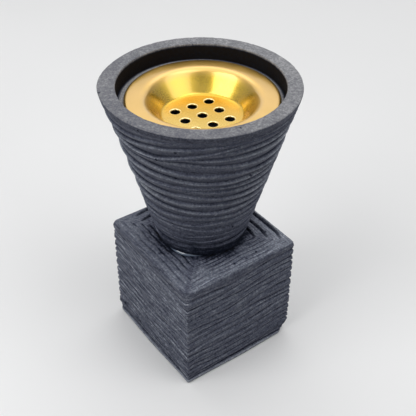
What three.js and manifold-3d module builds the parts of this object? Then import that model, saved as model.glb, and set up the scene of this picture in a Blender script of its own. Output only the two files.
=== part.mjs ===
// Incense burner: a ridged round cup glued on a ridged block, both cast, with a loose metal bowl in the cup.
// Millimetres, +Z up. The origin lies on the table, under the middle of the cup's rim.
import * as THREE from "three";
import { mergeVertices } from "three/addons/utils/BufferGeometryUtils.js";
import Module from "manifold-3d";

const wasm = await Module();
wasm.setup();

// The front of the burner, as turns counter-clockwise from +X: the block's corner between +X and -Y
const blockFrontTurn = -1 / 8;
const cupFrontTurn = -1 / 10;

// Block: a near cube whose layers bulge a little all round
const blockWidth = 66.8;
const blockDepth = 65;
const blockHeight = 61.3;
const blockEdgeRadius = 0.9;
const blockCornerSteps = 3;
const blockSideSteps = 8;
const blockShiftX = 2.5; // the cup was set down behind the middle of the block
const blockShiftY = -1.2;

// Layers of the block's sides, from the bottom up. Each row gives one notch between two layers: its height at
// the front corner, how far it climbs to the right, and how far it climbs to the two side corners.
const blockNotchShares = [
  [0.062, 0, 0.003],
  [0.125, 0.003, 0.022],
  [0.18, 0, 0.02],
  [0.236, -0.005, 0.016],
  [0.304, -0.011, 0.018],
  [0.377, 0.008, 0.025],
  [0.452, 0.015, 0.01],
  [0.516, 0.01, 0.002],
  [0.572, 0, 0.028],
  [0.635, 0.01, 0.042],
  [0.695, 0.011, 0.042],
  [0.756, -0.006, 0.048],
  [0.82, 0, 0.052],
  [0.884, 0.006, 0.04],
];
const blockMiddleSagShare = 0.02; // how far a notch hangs in the middle of a side
const blockNotchDepth = 0.75;
const blockShoulderShare = 0.26; // where a layer's round shoulders lie, in its height
const blockShoulderInset = 0.12;
const blockLipHeight = 1.7; // smooth edge along the bottom, with a groove over it
const blockLipInset = 0.25;
const blockLipSwell = 0.5; // how far it swells out between two corners
const blockTopRound = 0.9;

// The block's worn corners: towards which corner, how much of it is gone along the diagonal at the bottom or at
// the top, and how far the wear reaches from there
const wornCorners = [
  { sideX: 1, sideY: 1, atTop: false, reach: 4.6, span: 9 },
  { sideX: -1, sideY: -1, atTop: false, reach: 2.4, span: 7 },
  { sideX: 1, sideY: -1, atTop: true, reach: 2.2, span: 22 },
];
const wornCrownShare = 0.1; // a worn face is not quite flat

// Square grooves in the block's top, one inside the other
const topGrooveCount = 3;
const topGrooveInset = 2.1; // from the side to the middle of the outer groove
const topGroovePitch = 5;
const topGrooveWidth = 1.8;
const backGrooveDepth = 1.1;
const frontGrooveDepth = 0.45;
const backGrooveEndShare = 0.82; // a back groove runs out before the corners
const backGrooveFadeShare = 0.2;

// Bowl of pressed sheet. Its floor takes a round charcoal tablet, and the cup's inside is made to the bowl.
const bowlFloorDiameter = 37.4;
const bowlWallRun = 7.5; // how far the wall leans out
const flangeWidth = 8.9;
const bowlDepth = 9.9;
const sheetThickness = 0.9;
const shoulderReach = 2.6;
const floorCornerReach = 1.5;
const edgeRollReach = 1.3;
const edgeRollDrop = 0.8;
const bowlSegments = 48;
const bendSteps = 3;
const bowlShift = 0.9; // the loose bowl lies off the middle, towards +X
const bowlBelowRim = 6.3;
const seatGap = 0.3;

// Holes in the bowl's floor, in rows and columns
const holeDiameter = 4.2;
const holeRows = 3;
const cornerHoleInset = 6; // from the floor's edge to the middle of a corner hole
const holeTurn = -4; // degrees
const holeSides = 16;
const cutOverrun = 2;

// Cup
const flangeGap = 2.7; // all round the flange, to lift the bowl by
const ledgeWidth = 7.8; // from the recess's wall to the mouth of the ash well
const rimLandWidth = 7.2;
const rimBandHeight = 2.6; // smooth band under the rim
const rimBandTaper = 0.5;
const rimEdgeRound = 0.5;
const cupHeight = 82.1;
const footDiameter = 44.2;
const footEdgeRound = 1;
const cupColumns = 56;

// Layers of the cup's wall, from the foot up, as on the block. A branch runs between its neighbours and
// closes up with one of them, so there two layers merge into one.
const cupCrestShares = [
  { front: 0.045, climb: -0.019, side: 0 },
  { front: 0.097, climb: -0.004, side: 0 },
  { front: 0.146, climb: 0, side: 0.019 },
  { front: 0.192, climb: 0.004, side: 0.019 },
  { front: 0.249, climb: -0.01, side: 0.006 },
  { front: 0.304, climb: 0.01, side: 0 },
  { front: 0.362, climb: 0, side: 0 },
  { front: 0.414, climb: -0.02, side: 0.015 },
  { front: 0.483, climb: -0.028, side: 0 },
  { front: 0.545, climb: -0.029, side: -0.015 },
  { front: 0.608, climb: -0.057, side: 0, branch: true },
  { front: 0.623, climb: 0, side: 0.004 },
  { front: 0.669, climb: -0.019, side: 0.015 },
  { front: 0.733, climb: -0.043, side: 0 },
  { front: 0.811, climb: -0.035, side: -0.033 },
  { front: 0.862, climb: -0.031, side: 0, branch: true },
  { front: 0.893, climb: 0.006, side: 0, branch: true },
  { front: 0.891, climb: 0.138, side: 0, branch: true },
  { front: 0.946, climb: 0.05, side: -0.063 },
  { front: 0.981, climb: 0.025, side: -0.05 },
  { front: 0.99, climb: 0, side: 0, branch: true },
];
const cupLayerLeast = 0.25; // two merged layers still lie this far apart
const cupLedgeShare = 0.2; // a layer's top edge, in the height of the layer above it
const cupLedgeDepth = 0.95;
const cupDepthShare = 0.2; // a low layer is as much shallower

// Slow unevenness of all layers
const waverHeight = 0.35;
const waverWaves = 5;
const waverStep = 2.4; // shift from one layer to the next, in radians
const crestUnevenness = 0.2;
const crestWaves = 3;
const crestReach = 2.6; // along the block's sides

// Ash well under the bowl
const wellFloorDiameter = 34;
const wellDepth = 24;
const wellCornerReach = 6;
const wellCornerSteps = 3;

// Adhesive between foot and block, with a bead squeezed out at the front left
const glueThickness = 0.4;
const glueInset = 0.6;
const beadReach = 1.5;
const beadTopShare = 0.6; // the bead is lower than it is wide
const beadTurn = -0.2; // turns from the cup's front
const beadWidthPower = 6;
const glueColumns = 32;

// Soft pads under the block
const padDiameter = 10;
const padThickness = 0.5;
const padInset = 9; // from the block's sides to the pad's centre
const padSides = 24;

// Sizes that follow, from the bowl's floor out to the cup's rim
const bowlFloorRadius = bowlFloorDiameter / 2;
const bowlMouthRadius = bowlFloorRadius + bowlWallRun;
const flangeRadius = bowlMouthRadius + flangeWidth;
const recessRadius = flangeRadius + flangeGap;
const rimRadius = recessRadius + rimLandWidth;
const footRadius = footDiameter / 2;

// Heights that follow
const blockTop = padThickness + blockHeight;
const cupFloor = blockTop + glueThickness;
const flangeDrop = edgeRollDrop + sheetThickness / 2; // from the flange's top down to its edge
const recessDepth = bowlBelowRim + flangeDrop + seatGap;

const castMaterial = new THREE.MeshStandardMaterial({ color: 0x4b4f58, roughness: 0.92, metalness: 0 });
const brassMaterial = new THREE.MeshStandardMaterial({ color: 0xe0aa3e, roughness: 0.28, metalness: 1 });
const glueMaterial = new THREE.MeshStandardMaterial({ color: 0x8c97a1, roughness: 0.12, metalness: 0 });
const padMaterial = new THREE.MeshStandardMaterial({ color: 0x24252a, roughness: 0.95, metalness: 0 });

const fullTurn = 2 * Math.PI;

function clamp(value, least, most) {
  return Math.min(Math.max(value, least), most);
}

function circle(radius, height, columns) {
  const ring = [];
  for (let column = 0; column < columns; column += 1) {
    const angle = (fullTurn * column) / columns;
    ring.push(new THREE.Vector3(radius * Math.cos(angle), radius * Math.sin(angle), height));
  }
  return ring;
}

// A closed body over rings of equal count, listed from the middle of its underside to the middle of its top
function skin(rings) {
  const columns = rings[0].length;
  const middle = (ring) => ring.reduce((sum, p) => sum.add(p), new THREE.Vector3()).divideScalar(columns);
  const points = [middle(rings[0]), ...rings.flat(), middle(rings[rings.length - 1])];
  const last = points.length - 1;
  const at = (row, column) => 1 + row * columns + (column % columns);
  const faces = [];
  for (let column = 0; column < columns; column += 1) {
    faces.push(0, at(0, column + 1), at(0, column));
    for (let row = 0; row + 1 < rings.length; row += 1) {
      const [a, b] = [at(row, column), at(row, column + 1)];
      const [c, d] = [at(row + 1, column + 1), at(row + 1, column)];
      faces.push(a, b, c, a, c, d);
    }
    faces.push(last, at(rings.length - 1, column), at(rings.length - 1, column + 1));
  }
  const geometry = new THREE.BufferGeometry().setFromPoints(points);
  geometry.setIndex(faces);
  geometry.computeVertexNormals();
  return geometry;
}

// How far a line round the body has moved up or down at an angle counted from the front
function wander(front, climb, side, angle) {
  return front + climb * Math.sin(angle) + (side * (1 - Math.cos(2 * angle))) / 2;
}

// Points of a rounded rectangle, each with its outward direction, in the same order for every size
function roundedRectangle(width, depth, radius, steps) {
  const outline = [];
  const corners = [[1, -1], [1, 1], [-1, 1], [-1, -1]];
  corners.forEach(([sideX, sideY], quarter) => {
    const centre = new THREE.Vector2(sideX * (width / 2 - radius), sideY * (depth / 2 - radius));
    const arc = [];
    for (let step = 0; step <= steps.corner; step += 1) {
      const angle = (fullTurn * (quarter - 1 + step / steps.corner)) / 4;
      const outward = new THREE.Vector2(Math.cos(angle), Math.sin(angle));
      arc.push({ point: centre.clone().addScaledVector(outward, radius), outward });
    }
    const [nextX, nextY] = corners[(quarter + 1) % corners.length];
    const next = new THREE.Vector2(nextX * (width / 2 - radius), nextY * (depth / 2 - radius));
    const outward = arc[steps.corner].outward;
    next.addScaledVector(outward, radius);
    outline.push(...arc);
    for (let step = 1; step < steps.side; step += 1) {
      const point = arc[steps.corner].point.clone().lerp(next, step / steps.side);
      outline.push({ point, outward });
    }
  });
  return outline;
}

// Block

const blockSteps = { corner: blockCornerSteps, side: blockSideSteps };

// A point moved back where wear has cut its corner off
function worn(point) {
  for (const { sideX, sideY, atTop, reach, span } of wornCorners) {
    const towards = new THREE.Vector3(sideX, sideY, 0).normalize();
    const corner = new THREE.Vector3((sideX * blockWidth) / 2, (sideY * blockDepth) / 2, 0);
    const away = atTop ? blockHeight - point.z : point.z;
    const gone = reach * clamp(1 - away / span, 0, 1);
    const over = point.dot(towards) - (corner.dot(towards) - gone);
    if (gone > 0 && over > 0) point.addScaledVector(towards, -over * (1 - wornCrownShare));
  }
  return point;
}

// Angle of a point round the block, from its front corner
function blockAngle(point) {
  return Math.atan2(point.y / blockDepth, point.x / blockWidth) - fullTurn * blockFrontTurn;
}

// 0 at the block's corners, 1 in the middle of its sides
function betweenCorners(angle) {
  return (1 - Math.cos(4 * angle)) / 2;
}

function blockNotches(angle) {
  return blockNotchShares.map(([front, climb, side], index) => {
    const waver = waverHeight * Math.sin(waverWaves * angle + waverStep * index);
    const share = wander(front, climb, side, angle) - blockMiddleSagShare * betweenCorners(angle);
    return blockHeight * share + waver;
  });
}

function blockRings() {
  const outline = roundedRectangle(blockWidth, blockDepth, blockEdgeRadius, blockSteps);
  const columns = outline.map(({ point, outward }) => {
    const place = (height, inset) => {
      const flat = point.clone().addScaledVector(outward, -inset);
      return worn(new THREE.Vector3(flat.x, flat.y, height));
    };
    const angle = blockAngle(point);
    const notches = blockNotches(angle);
    const lipSwell = blockLipSwell * betweenCorners(angle);
    const top = blockHeight - blockTopRound;
    const column = [
      place(0, blockLipInset - lipSwell),
      place(blockLipHeight - blockLipInset, -lipSwell),
      place(blockLipHeight, blockNotchDepth),
    ];
    let below = blockLipHeight;
    [...notches, top].forEach((notch, index) => {
      const rise = notch - below;
      const swell = crestUnevenness * (1 + Math.sin(waverStep * (index + point.x / crestReach)));
      column.push(place(below + rise * blockShoulderShare, blockShoulderInset + swell / 2));
      column.push(place(notch - rise * blockShoulderShare, swell / 2));
      if (index < notches.length) column.push(place(notch, blockNotchDepth));
      below = notch;
    });
    column.push(place(top, 0), place(blockHeight, blockTopRound));
    return column;
  });
  return columns[0].map((_, row) => columns.map((column) => column[row]));
}

// Depth of a top groove at a point: shallow on the two front sides, deep on the back ones, where it fades out
function topGrooveDepth(point, width, depth) {
  const acrossX = point.x / (width / 2);
  const acrossY = point.y / (depth / 2);
  const onSideX = Math.abs(acrossX) > Math.abs(acrossY);
  const isFront = onSideX ? acrossX > 0 : acrossY < 0;
  if (isFront) return frontGrooveDepth;
  const along = Math.min(Math.abs(acrossX), Math.abs(acrossY));
  return backGrooveDepth * clamp((backGrooveEndShare - along) / backGrooveFadeShare, 0, 1);
}

function blockTopRings() {
  const rings = [];
  const ringAt = (inset, isDeep) => {
    const [width, depth] = [blockWidth - 2 * inset, blockDepth - 2 * inset];
    const radius = blockEdgeRadius * (1 - (2 * inset) / blockWidth);
    const outline = roundedRectangle(width, depth, radius, blockSteps);
    rings.push(
      outline.map(({ point }) => {
        const drop = isDeep ? topGrooveDepth(point, width, depth) : 0;
        return worn(new THREE.Vector3(point.x, point.y, blockHeight - drop));
      }),
    );
  };
  for (let groove = 0; groove < topGrooveCount; groove += 1) {
    const middle = topGrooveInset + groove * topGroovePitch;
    ringAt(middle - topGrooveWidth / 2, false);
    ringAt(middle, true);
    ringAt(middle + topGrooveWidth / 2, false);
  }
  return rings;
}

function makeBlock() {
  const mesh = new THREE.Mesh(skin([...blockRings(), ...blockTopRings()]), castMaterial);
  mesh.name = "block";
  mesh.position.z = padThickness;
  return mesh;
}

function makePad(name, sideX, sideY) {
  const geometry = new THREE.CylinderGeometry(padDiameter / 2, padDiameter / 2, padThickness, padSides);
  geometry.rotateX(fullTurn / 4);
  const mesh = new THREE.Mesh(geometry, padMaterial);
  mesh.name = name;
  mesh.position.set(sideX * (blockWidth / 2 - padInset), sideY * (blockDepth / 2 - padInset), padThickness / 2);
  return mesh;
}

// Cup

const ridgedHeight = cupHeight - rimBandHeight;
const bandRadius = rimRadius - rimBandTaper;

function coneRadius(height) {
  return THREE.MathUtils.lerp(footRadius, bandRadius, height / ridgedHeight);
}

// Heights of the layers' crests at an angle from the front. A branch stays between its neighbours.
function cupCrests(angle) {
  const crests = cupCrestShares.map(({ front, climb, side }, index) => {
    const waver = waverHeight * Math.sin(waverWaves * angle + waverStep * index);
    return ridgedHeight * wander(front, climb, side, angle) + waver;
  });
  const least = (index) => crests[index - 1] + cupLayerLeast;
  const most = (index) => (index + 1 < crests.length ? crests[index + 1] : ridgedHeight) - cupLayerLeast;
  for (let index = crests.length - 1; index > 0; index -= 1) {
    if (cupCrestShares[index].branch) crests[index] = Math.min(crests[index], most(index));
  }
  for (let index = 1; index < crests.length; index += 1) {
    crests[index] = Math.max(crests[index], least(index));
  }
  return crests;
}

function cupOutsideRings() {
  const columns = [];
  for (let step = 0; step < cupColumns; step += 1) {
    const turn = (fullTurn * step) / cupColumns;
    const angle = turn - fullTurn * cupFrontTurn;
    const place = (height, inset) => {
      const radius = coneRadius(height) - inset;
      return new THREE.Vector3(radius * Math.cos(turn), radius * Math.sin(turn), height);
    };
    const column = [place(0, footEdgeRound), place(footEdgeRound, 0)];
    const crests = cupCrests(angle);
    crests.forEach((crest, index) => {
      const next = index + 1 < crests.length ? crests[index + 1] : ridgedHeight;
      const rise = next - crest;
      const ledge = Math.min(cupLedgeDepth, rise * cupDepthShare);
      const uneven = (crestUnevenness * (1 + Math.sin(crestWaves * angle + waverStep * index))) / 2;
      column.push(place(crest, uneven), place(crest + rise * cupLedgeShare, uneven + ledge));
    });
    column.push(place(ridgedHeight, 0));
    columns.push(column);
  }
  return columns[0].map((_, row) => columns.map((column) => column[row]));
}

function cupInsideRings() {
  const ring = (radius, depth) => circle(radius, cupHeight - depth, cupColumns);
  const wellBottom = recessDepth + wellDepth;
  const wellMouth = new THREE.Vector2(recessRadius - ledgeWidth, recessDepth);
  const corner = new THREE.Vector2(wellFloorDiameter / 2, wellBottom);
  const bendStart = corner.clone().lerp(wellMouth, wellCornerReach / wellMouth.distanceTo(corner));
  const bendEnd = new THREE.Vector2(corner.x - wellCornerReach, wellBottom);
  const bend = new THREE.QuadraticBezierCurve(bendStart, corner, bendEnd).getPoints(wellCornerSteps);
  return [
    ring(rimRadius, rimEdgeRound),
    ring(rimRadius - rimEdgeRound, 0),
    ring(recessRadius + rimEdgeRound, 0),
    ring(recessRadius, rimEdgeRound),
    ring(recessRadius, recessDepth),
    ring(wellMouth.x, wellMouth.y),
    ...bend.map((point) => ring(point.x, point.y)),
  ];
}

function makeCup() {
  const mesh = new THREE.Mesh(skin([...cupOutsideRings(), ...cupInsideRings()]), castMaterial);
  mesh.name = "cup";
  mesh.position.z = cupFloor;
  return mesh;
}

// Adhesive: a flat disc under the foot whose edge swells out where it was squeezed

function makeGlue() {
  const edge = (height, reach) =>
    circle(1, height, glueColumns).map((direction, column) => {
      const angle = fullTurn * (column / glueColumns - cupFrontTurn - beadTurn);
      const bead = reach * ((1 + Math.cos(angle)) / 2) ** beadWidthPower;
      const radius = footRadius - footEdgeRound - glueInset + bead;
      return new THREE.Vector3(direction.x * radius, direction.y * radius, height);
    });
  const rings = [
    edge(0, beadReach),
    edge(glueThickness / 2, beadReach),
    edge(glueThickness, beadReach * beadTopShare),
  ];
  const mesh = new THREE.Mesh(skin(rings), glueMaterial);
  mesh.name = "glue_joint";
  mesh.position.z = blockTop;
  return mesh;
}

// Bowl

function solidFrom(geometry) {
  const bare = geometry.clone();
  bare.deleteAttribute("normal");
  bare.deleteAttribute("uv");
  const merged = mergeVertices(bare);
  const mesh = new wasm.Mesh({
    numProp: 3,
    vertProperties: new Float32Array(merged.attributes.position.array),
    triVerts: new Uint32Array(merged.index.array),
  });
  return new wasm.Manifold(mesh);
}

function geometryFrom(solid) {
  const mesh = solid.getMesh();
  const geometry = new THREE.BufferGeometry();
  geometry.setAttribute("position", new THREE.BufferAttribute(mesh.vertProperties, mesh.numProp));
  geometry.setIndex(new THREE.BufferAttribute(mesh.triVerts, 1));
  geometry.computeVertexNormals();
  return geometry;
}

// The sheet's middle line, from the centre of the floor to the rolled edge of the flange
function bowlMiddleLine() {
  const half = sheetThickness / 2;
  const floor = -bowlDepth - half;
  const foot = new THREE.Vector2(bowlFloorRadius, floor);
  const mouth = new THREE.Vector2(bowlMouthRadius, -half);
  const wall = mouth.clone().sub(foot).normalize();
  const floorBend = foot.clone().addScaledVector(wall, floorCornerReach);
  const shoulderBend = mouth.clone().addScaledVector(wall, -shoulderReach);
  const edge = flangeRadius - half;
  const line = new THREE.Path();
  line.moveTo(0, floor);
  line.lineTo(foot.x - floorCornerReach, foot.y);
  line.quadraticCurveTo(foot.x, foot.y, floorBend.x, floorBend.y);
  line.lineTo(shoulderBend.x, shoulderBend.y);
  line.quadraticCurveTo(mouth.x, mouth.y, mouth.x + shoulderReach, mouth.y);
  line.lineTo(edge - edgeRollReach, -half);
  line.quadraticCurveTo(edge, -half, edge, -half - edgeRollDrop);
  return line.getPoints(bendSteps);
}

// Both faces of the sheet, as one outline from the axis out along the underside and back along the top
function bowlOutline() {
  const line = bowlMiddleLine();
  const faceAt = (side) =>
    line.map((point, index) => {
      const before = line[Math.max(index - 1, 0)];
      const after = line[Math.min(index + 1, line.length - 1)];
      const along = after.clone().sub(before).normalize();
      const normal = new THREE.Vector2(-along.y, along.x);
      return point.clone().addScaledVector(normal, (side * sheetThickness) / 2);
    });
  return [...faceAt(-1), ...faceAt(1).reverse()];
}

function makeBowl() {
  const sheet = new THREE.LatheGeometry(bowlOutline(), bowlSegments);
  sheet.rotateX(fullTurn / 4);
  let solid = solidFrom(sheet);
  const holeLength = sheetThickness + 2 * cutOverrun;
  const middle = (holeRows - 1) / 2;
  const holePitch = (bowlFloorRadius - cornerHoleInset) / (middle * Math.SQRT2);
  const floorMiddle = -bowlDepth - sheetThickness / 2;
  for (let row = 0; row < holeRows; row += 1) {
    for (let column = 0; column < holeRows; column += 1) {
      const cutter = new THREE.CylinderGeometry(holeDiameter / 2, holeDiameter / 2, holeLength, holeSides);
      cutter.rotateX(fullTurn / 4);
      cutter.translate((column - middle) * holePitch, (row - middle) * holePitch, floorMiddle);
      cutter.rotateZ(THREE.MathUtils.degToRad(holeTurn));
      solid = solid.subtract(solidFrom(cutter));
    }
  }
  const mesh = new THREE.Mesh(geometryFrom(solid), brassMaterial);
  mesh.name = "bowl";
  mesh.position.set(bowlShift, 0, cupFloor + cupHeight - bowlBelowRim);
  return mesh;
}

const blockGroup = new THREE.Group();
blockGroup.position.set(blockShiftX, blockShiftY, 0);
blockGroup.add(
  makeBlock(),
  makePad("pad_front", 1, -1),
  makePad("pad_right", 1, 1),
  makePad("pad_back", -1, 1),
  makePad("pad_left", -1, -1),
);

const burner = new THREE.Group();
burner.add(blockGroup, makeGlue(), makeCup(), makeBowl());

export default burner;
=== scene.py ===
from math import cos, pi, radians, sin, sqrt

import bmesh
import bpy
import numpy as np
from mathutils import Matrix, Vector, geometry, noise


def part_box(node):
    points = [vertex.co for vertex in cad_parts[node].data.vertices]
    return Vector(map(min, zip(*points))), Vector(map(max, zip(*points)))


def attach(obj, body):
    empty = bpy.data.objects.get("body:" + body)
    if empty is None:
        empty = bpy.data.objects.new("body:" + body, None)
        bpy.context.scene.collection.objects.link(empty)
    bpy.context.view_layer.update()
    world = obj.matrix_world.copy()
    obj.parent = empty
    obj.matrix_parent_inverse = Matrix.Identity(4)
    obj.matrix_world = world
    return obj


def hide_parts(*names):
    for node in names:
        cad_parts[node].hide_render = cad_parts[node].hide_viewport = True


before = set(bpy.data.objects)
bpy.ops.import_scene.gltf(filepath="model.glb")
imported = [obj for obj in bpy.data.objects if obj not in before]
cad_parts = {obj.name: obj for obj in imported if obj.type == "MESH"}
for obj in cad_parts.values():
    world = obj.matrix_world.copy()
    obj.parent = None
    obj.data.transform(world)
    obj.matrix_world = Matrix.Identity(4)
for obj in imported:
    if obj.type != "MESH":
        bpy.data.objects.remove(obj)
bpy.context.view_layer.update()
scene = bpy.context.scene

# Lengths are metres, as in the frame. The cup's axis is the Z axis.
cup_low, cup_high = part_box("cup")
block_low, block_high = (np.array(corner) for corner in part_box("block"))
bowl_low, bowl_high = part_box("bowl")
glue_low, glue_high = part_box("glue_joint")

TURN = 2 * pi
HAIR = 1e-6

# The front of the burner, as directions counter-clockwise from +X
BLOCK_FRONT = -TURN / 8
CUP_FRONT = -TURN / 10

# Slow unevenness that all layers share
WAVER_HEIGHT = 0.00035
WAVER_WAVES = 5
WAVER_STEP = 2.4


def wander(front, right, side, angle):
    """Height of a line round the body, at an angle from its front."""
    return front + right * np.sin(angle) + side * (1 - np.cos(2 * angle)) / 2


def waver(angle, index):
    return WAVER_HEIGHT * np.sin(WAVER_WAVES * angle + WAVER_STEP * index)


def climb(value, start=0, length=1):
    """A soft climb from 0 at the start to 1 a length further on."""
    share = np.clip((value - start) / length, 0, 1)
    return share * share * (3 - 2 * share)


def within(value, low, high, low_fade, high_fade):
    """1 between low and high, fading out towards both."""
    return climb(value, low, low_fade) * climb(-value, -high, high_fade)


def grow(pair, share):
    """The first of a pair, and a share of the second added to it."""
    return pair[0] + pair[1] * share


def bell(distance, width):
    """1 at a distance of zero, falling off smoothly over the width."""
    return np.exp(-((distance / width) ** 2))


def hills(value, *table):
    """Sum of bells, each with a height, a place and a width."""
    return sum(height * bell(value - place, width) for height, place, width in table)


def shade(distance, table):
    """Darkness near a corner, as a sum of parts with a weight and a reach."""
    return sum(weight * np.exp(-distance / reach) for weight, reach in table)


def noise_at(points, grain, seed):
    """Smooth noise from -1 to 1, in lumps of the size of grain, which may differ by axis."""
    places = (np.asarray(points) / np.asarray(grain)).reshape(-1, 3) + seed
    values = np.array([noise.noise(place) for place in places.tolist()])
    return values.reshape(np.shape(points)[:-1])


def layer_noise(points, grain, layer, lift, seed):
    """Smooth noise along a wall, which moves on by lift from each layer to the next."""
    return noise_at(points / grain + np.asarray(layer)[..., None] * np.array([0, 0, lift]), 1, seed)


def spots(points, places, radius):
    """1 at each place on a surface, 0 away from them."""
    return sum(bell(np.linalg.norm(points - np.array(place), axis=-1), radius) for place in places)


def turns(columns):
    """Direction of each column round a body."""
    return np.arange(columns) * TURN / columns


def circle(radius, height, columns):
    """Points round the Z axis. Radius and height may be numbers or arrays."""
    turn = turns(columns)
    return np.stack([radius * np.cos(turn), radius * np.sin(turn), height + np.zeros(columns)], axis=-1)


def revolve(profile, columns):
    """Rings round the Z axis, from a list of (radius, height)."""
    return np.array([circle(radius, height, columns) for radius, height in profile])


def between(start, end, steps):
    return [tuple(np.array(start) + (np.array(end) - start) * step / steps) for step in range(1, steps + 1)]


def quarter_bend(start, corner, end, steps):
    """Points of a soft corner, without the first."""
    start, corner, end = (np.array(point, float) for point in (start, corner, end))
    shares = [step / steps for step in range(1, steps + 1)]
    return [tuple((1 - t) ** 2 * start + 2 * t * (1 - t) * corner + t * t * end) for t in shares]


def round_pairs(ring):
    """Each item of a closed ring with its neighbour."""
    return zip(ring, [*ring[1:], ring[0]])


def wall_faces(start, rows, columns):
    """Quads between closed rows of points, which start at a place in the list of points."""
    here = start + np.arange(rows * columns).reshape(rows, columns)
    beside = np.roll(here, -1, axis=1)
    return np.stack([here[:-1], beside[:-1], beside[1:], here[1:]], axis=-1).reshape(-1, 4).tolist()


def add_object(name, data):
    added = bpy.data.objects.new(name, data)
    scene.collection.objects.link(added)
    return added


def new_object(name, points, faces, smooth_angle=radians(50)):
    mesh = bpy.data.meshes.new(name)
    mesh.from_pydata(points, [], faces)
    mesh.validate()
    mesh.shade_smooth()
    mesh.set_sharp_from_angle(angle=smooth_angle)
    return add_object(name, mesh)


def add_field(piece, name, values):
    """Give each point of a piece a value that the material reads."""
    field = piece.data.attributes.new(name, "FLOAT", "POINT")
    field.data.foreach_set("value", np.array(values, np.float32))


def closed_skin(name, rings, **fields):
    """Closed body over rings of equal count, from its underside up."""
    rows, columns, _ = rings.shape
    count = rows * columns
    points = np.vstack([rings.reshape(-1, 3), rings[[0, -1]].mean(axis=1)])
    faces = wall_faces(0, rows, columns)
    faces += [(count, b, a) for a, b in round_pairs(range(columns))]
    faces += [(count + 1, a, b) for a, b in round_pairs(range(count - columns, count))]
    piece = new_object(name, points.tolist(), faces)
    for field, values in fields.items():
        add_field(piece, field, np.append(values.reshape(-1), [values[0].mean(), values[-1].mean()]))
    return piece


def outward_normals(rings):
    """Normals of a grid of rings, from each point's neighbours."""
    along = np.roll(rings, -1, axis=1) - np.roll(rings, 1, axis=1)
    up = np.gradient(rings, axis=0)
    normals = np.cross(along, up)
    return normals / np.maximum(np.linalg.norm(normals, axis=-1, keepdims=True), HAIR**2)


def finish_piece(piece, body, slot, material, *nodes):
    piece.data.materials.append(material)
    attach(piece, body)
    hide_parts(*nodes)


# Layers of the cast walls

LEDGE_SHARE = 0.2
LEDGE_BEND = 0.75
SLOPE_BEND = 1.7
LEDGE_ROWS = 4
STRENGTH_LIFT = 1.3

# Thin layers on the main ones: how they wave, come and go, and the painted highlights and shade along them
FINE_WAVE = 0.45
FINE_WAVE_LIFT = 0.3
FINE_LIFT = 1.7
FINE_PRESENCE = (0.6, 1.4)
FINE_LIGHT_SHADE_LINES = [(1, 0.03, 0.13), (1, 1, 0.12), (-1.1, 0.27, 0.14)]


def layer_depth(share):
    """Depth of a layer: 0 at its crest, 1 in the corner over its ledge, 0 at the next crest."""
    up = np.clip(share / LEDGE_SHARE, 0, 1) ** LEDGE_BEND
    down = np.clip((1 - share) / (1 - LEDGE_SHARE), 0, 1) ** SLOPE_BEND
    return np.minimum(up, down)


def layer_rows(levels, row_step):
    """Index and share of each row of a wall whose layers begin at the given levels."""
    rows = []
    for index, rise in enumerate(np.diff(levels, axis=0).max(axis=1)):
        steps = max(2, round(float(rise) / row_step) - LEDGE_ROWS)
        shares = [
            *np.linspace(0, LEDGE_SHARE, LEDGE_ROWS, endpoint=False),
            *np.linspace(LEDGE_SHARE, 1, steps, endpoint=False),
        ]
        rows += [(index, share) for share in shares]
    index, share = np.array(rows).T
    return index.astype(int), share[:, None]


def strength_along(points, layer, run, usual, least, most, seed):
    """Strength of each layer along a wall, which comes and goes over the length of a run.

    usual is that strength, and what the noise adds to it.
    """
    return np.clip(grow(usual, layer_noise(points, run, layer, STRENGTH_LIFT, seed)), least, most)


def fine_layers(level, points, count, reach, run, seed):
    """Depth, and painted highlights and shade, of thin layers, with count of them to a main layer.

    reach is the length of their waves and run how far they go before they fade.
    """
    level = count * level
    level = level + FINE_WAVE * layer_noise(points, reach, level, FINE_WAVE_LIFT, seed)
    layer = np.floor(level)
    share = level - layer
    present = climb(grow(FINE_PRESENCE, layer_noise(points, run, layer, FINE_LIFT, seed + 5)))
    return layer_depth(share) * present, hills(share, *FINE_LIGHT_SHADE_LINES) * present


# Cup

CUP_COLUMNS = 350
CUP_ROW_STEP = 0.00056
RIM_RADIUS = (cup_high.x - cup_low.x) / 2
CUP_HEIGHT = cup_high.z - cup_low.z
RIM_LAND = 0.0072
RIM_BAND = 0.0026
RIM_TAPER = 0.0005
RIM_ROUND = 0.0005
RECESS_RADIUS = RIM_RADIUS - RIM_LAND
RECESS_DEPTH = 0.00785
LEDGE_WIDTH = 0.0078
FOOT_RADIUS = 0.0221
FOOT_ROUND = 0.001
WELL_FLOOR_RADIUS = 0.017
WELL_DEPTH = 0.024
WELL_CORNER = 0.006
WALL_TOP = CUP_HEIGHT - RIM_BAND
BAND_RADIUS = RIM_RADIUS - RIM_TAPER
WALL_FADES = (0.004, 0.003)

# Relief of the layers. Low layers are weaker.
LEDGE_DEPTH = 0.0015
LEDGE_SHARES = (0.35, 0.65)
LAYER_LEAST = 0.00025
LAYER_FULL = 0.003
CREST_UNEVEN = 0.0002
CREST_WAVES = 3
CUP_STRENGTH = (0.024, (1, 0.75), 0.35, 1.4, 31)
CUP_FINE = (2.4, 0.02, 0.013, 11)
CUP_FINE_DEPTH = (0.0002, -0.00012)

# The layers are faint near the foot, and softer towards the front. Their painted highlights and shade are
# weaker at the front and stronger at the sides, like sheen at a grazing angle.
CALM_LOW = 0.012
CALM_HIGH = 0.041
CALM_SHARES = (0.2, 0.8)
FOOT_LAYER = (0.6, 0.0078, 0.0025)
FRONT_PART = (1, radians(4), radians(32))
FRONT_SHARES = (1.5, -0.95)

# The rim bulges out a little on one side
BULGE = (0.0009, radians(234) - CUP_FRONT - TURN, radians(19))
BULGE_LOW = 0.064
BULGE_RISE = 0.01

# Broad swells on the left side
SWELL = (0.0005, radians(-96), radians(40))
SWELL_PITCH = 0.0116
SWELL_CREST = 0.0562
SWELL_SPAN = (0.027, 0.068, 0.004, 0.004)
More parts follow.
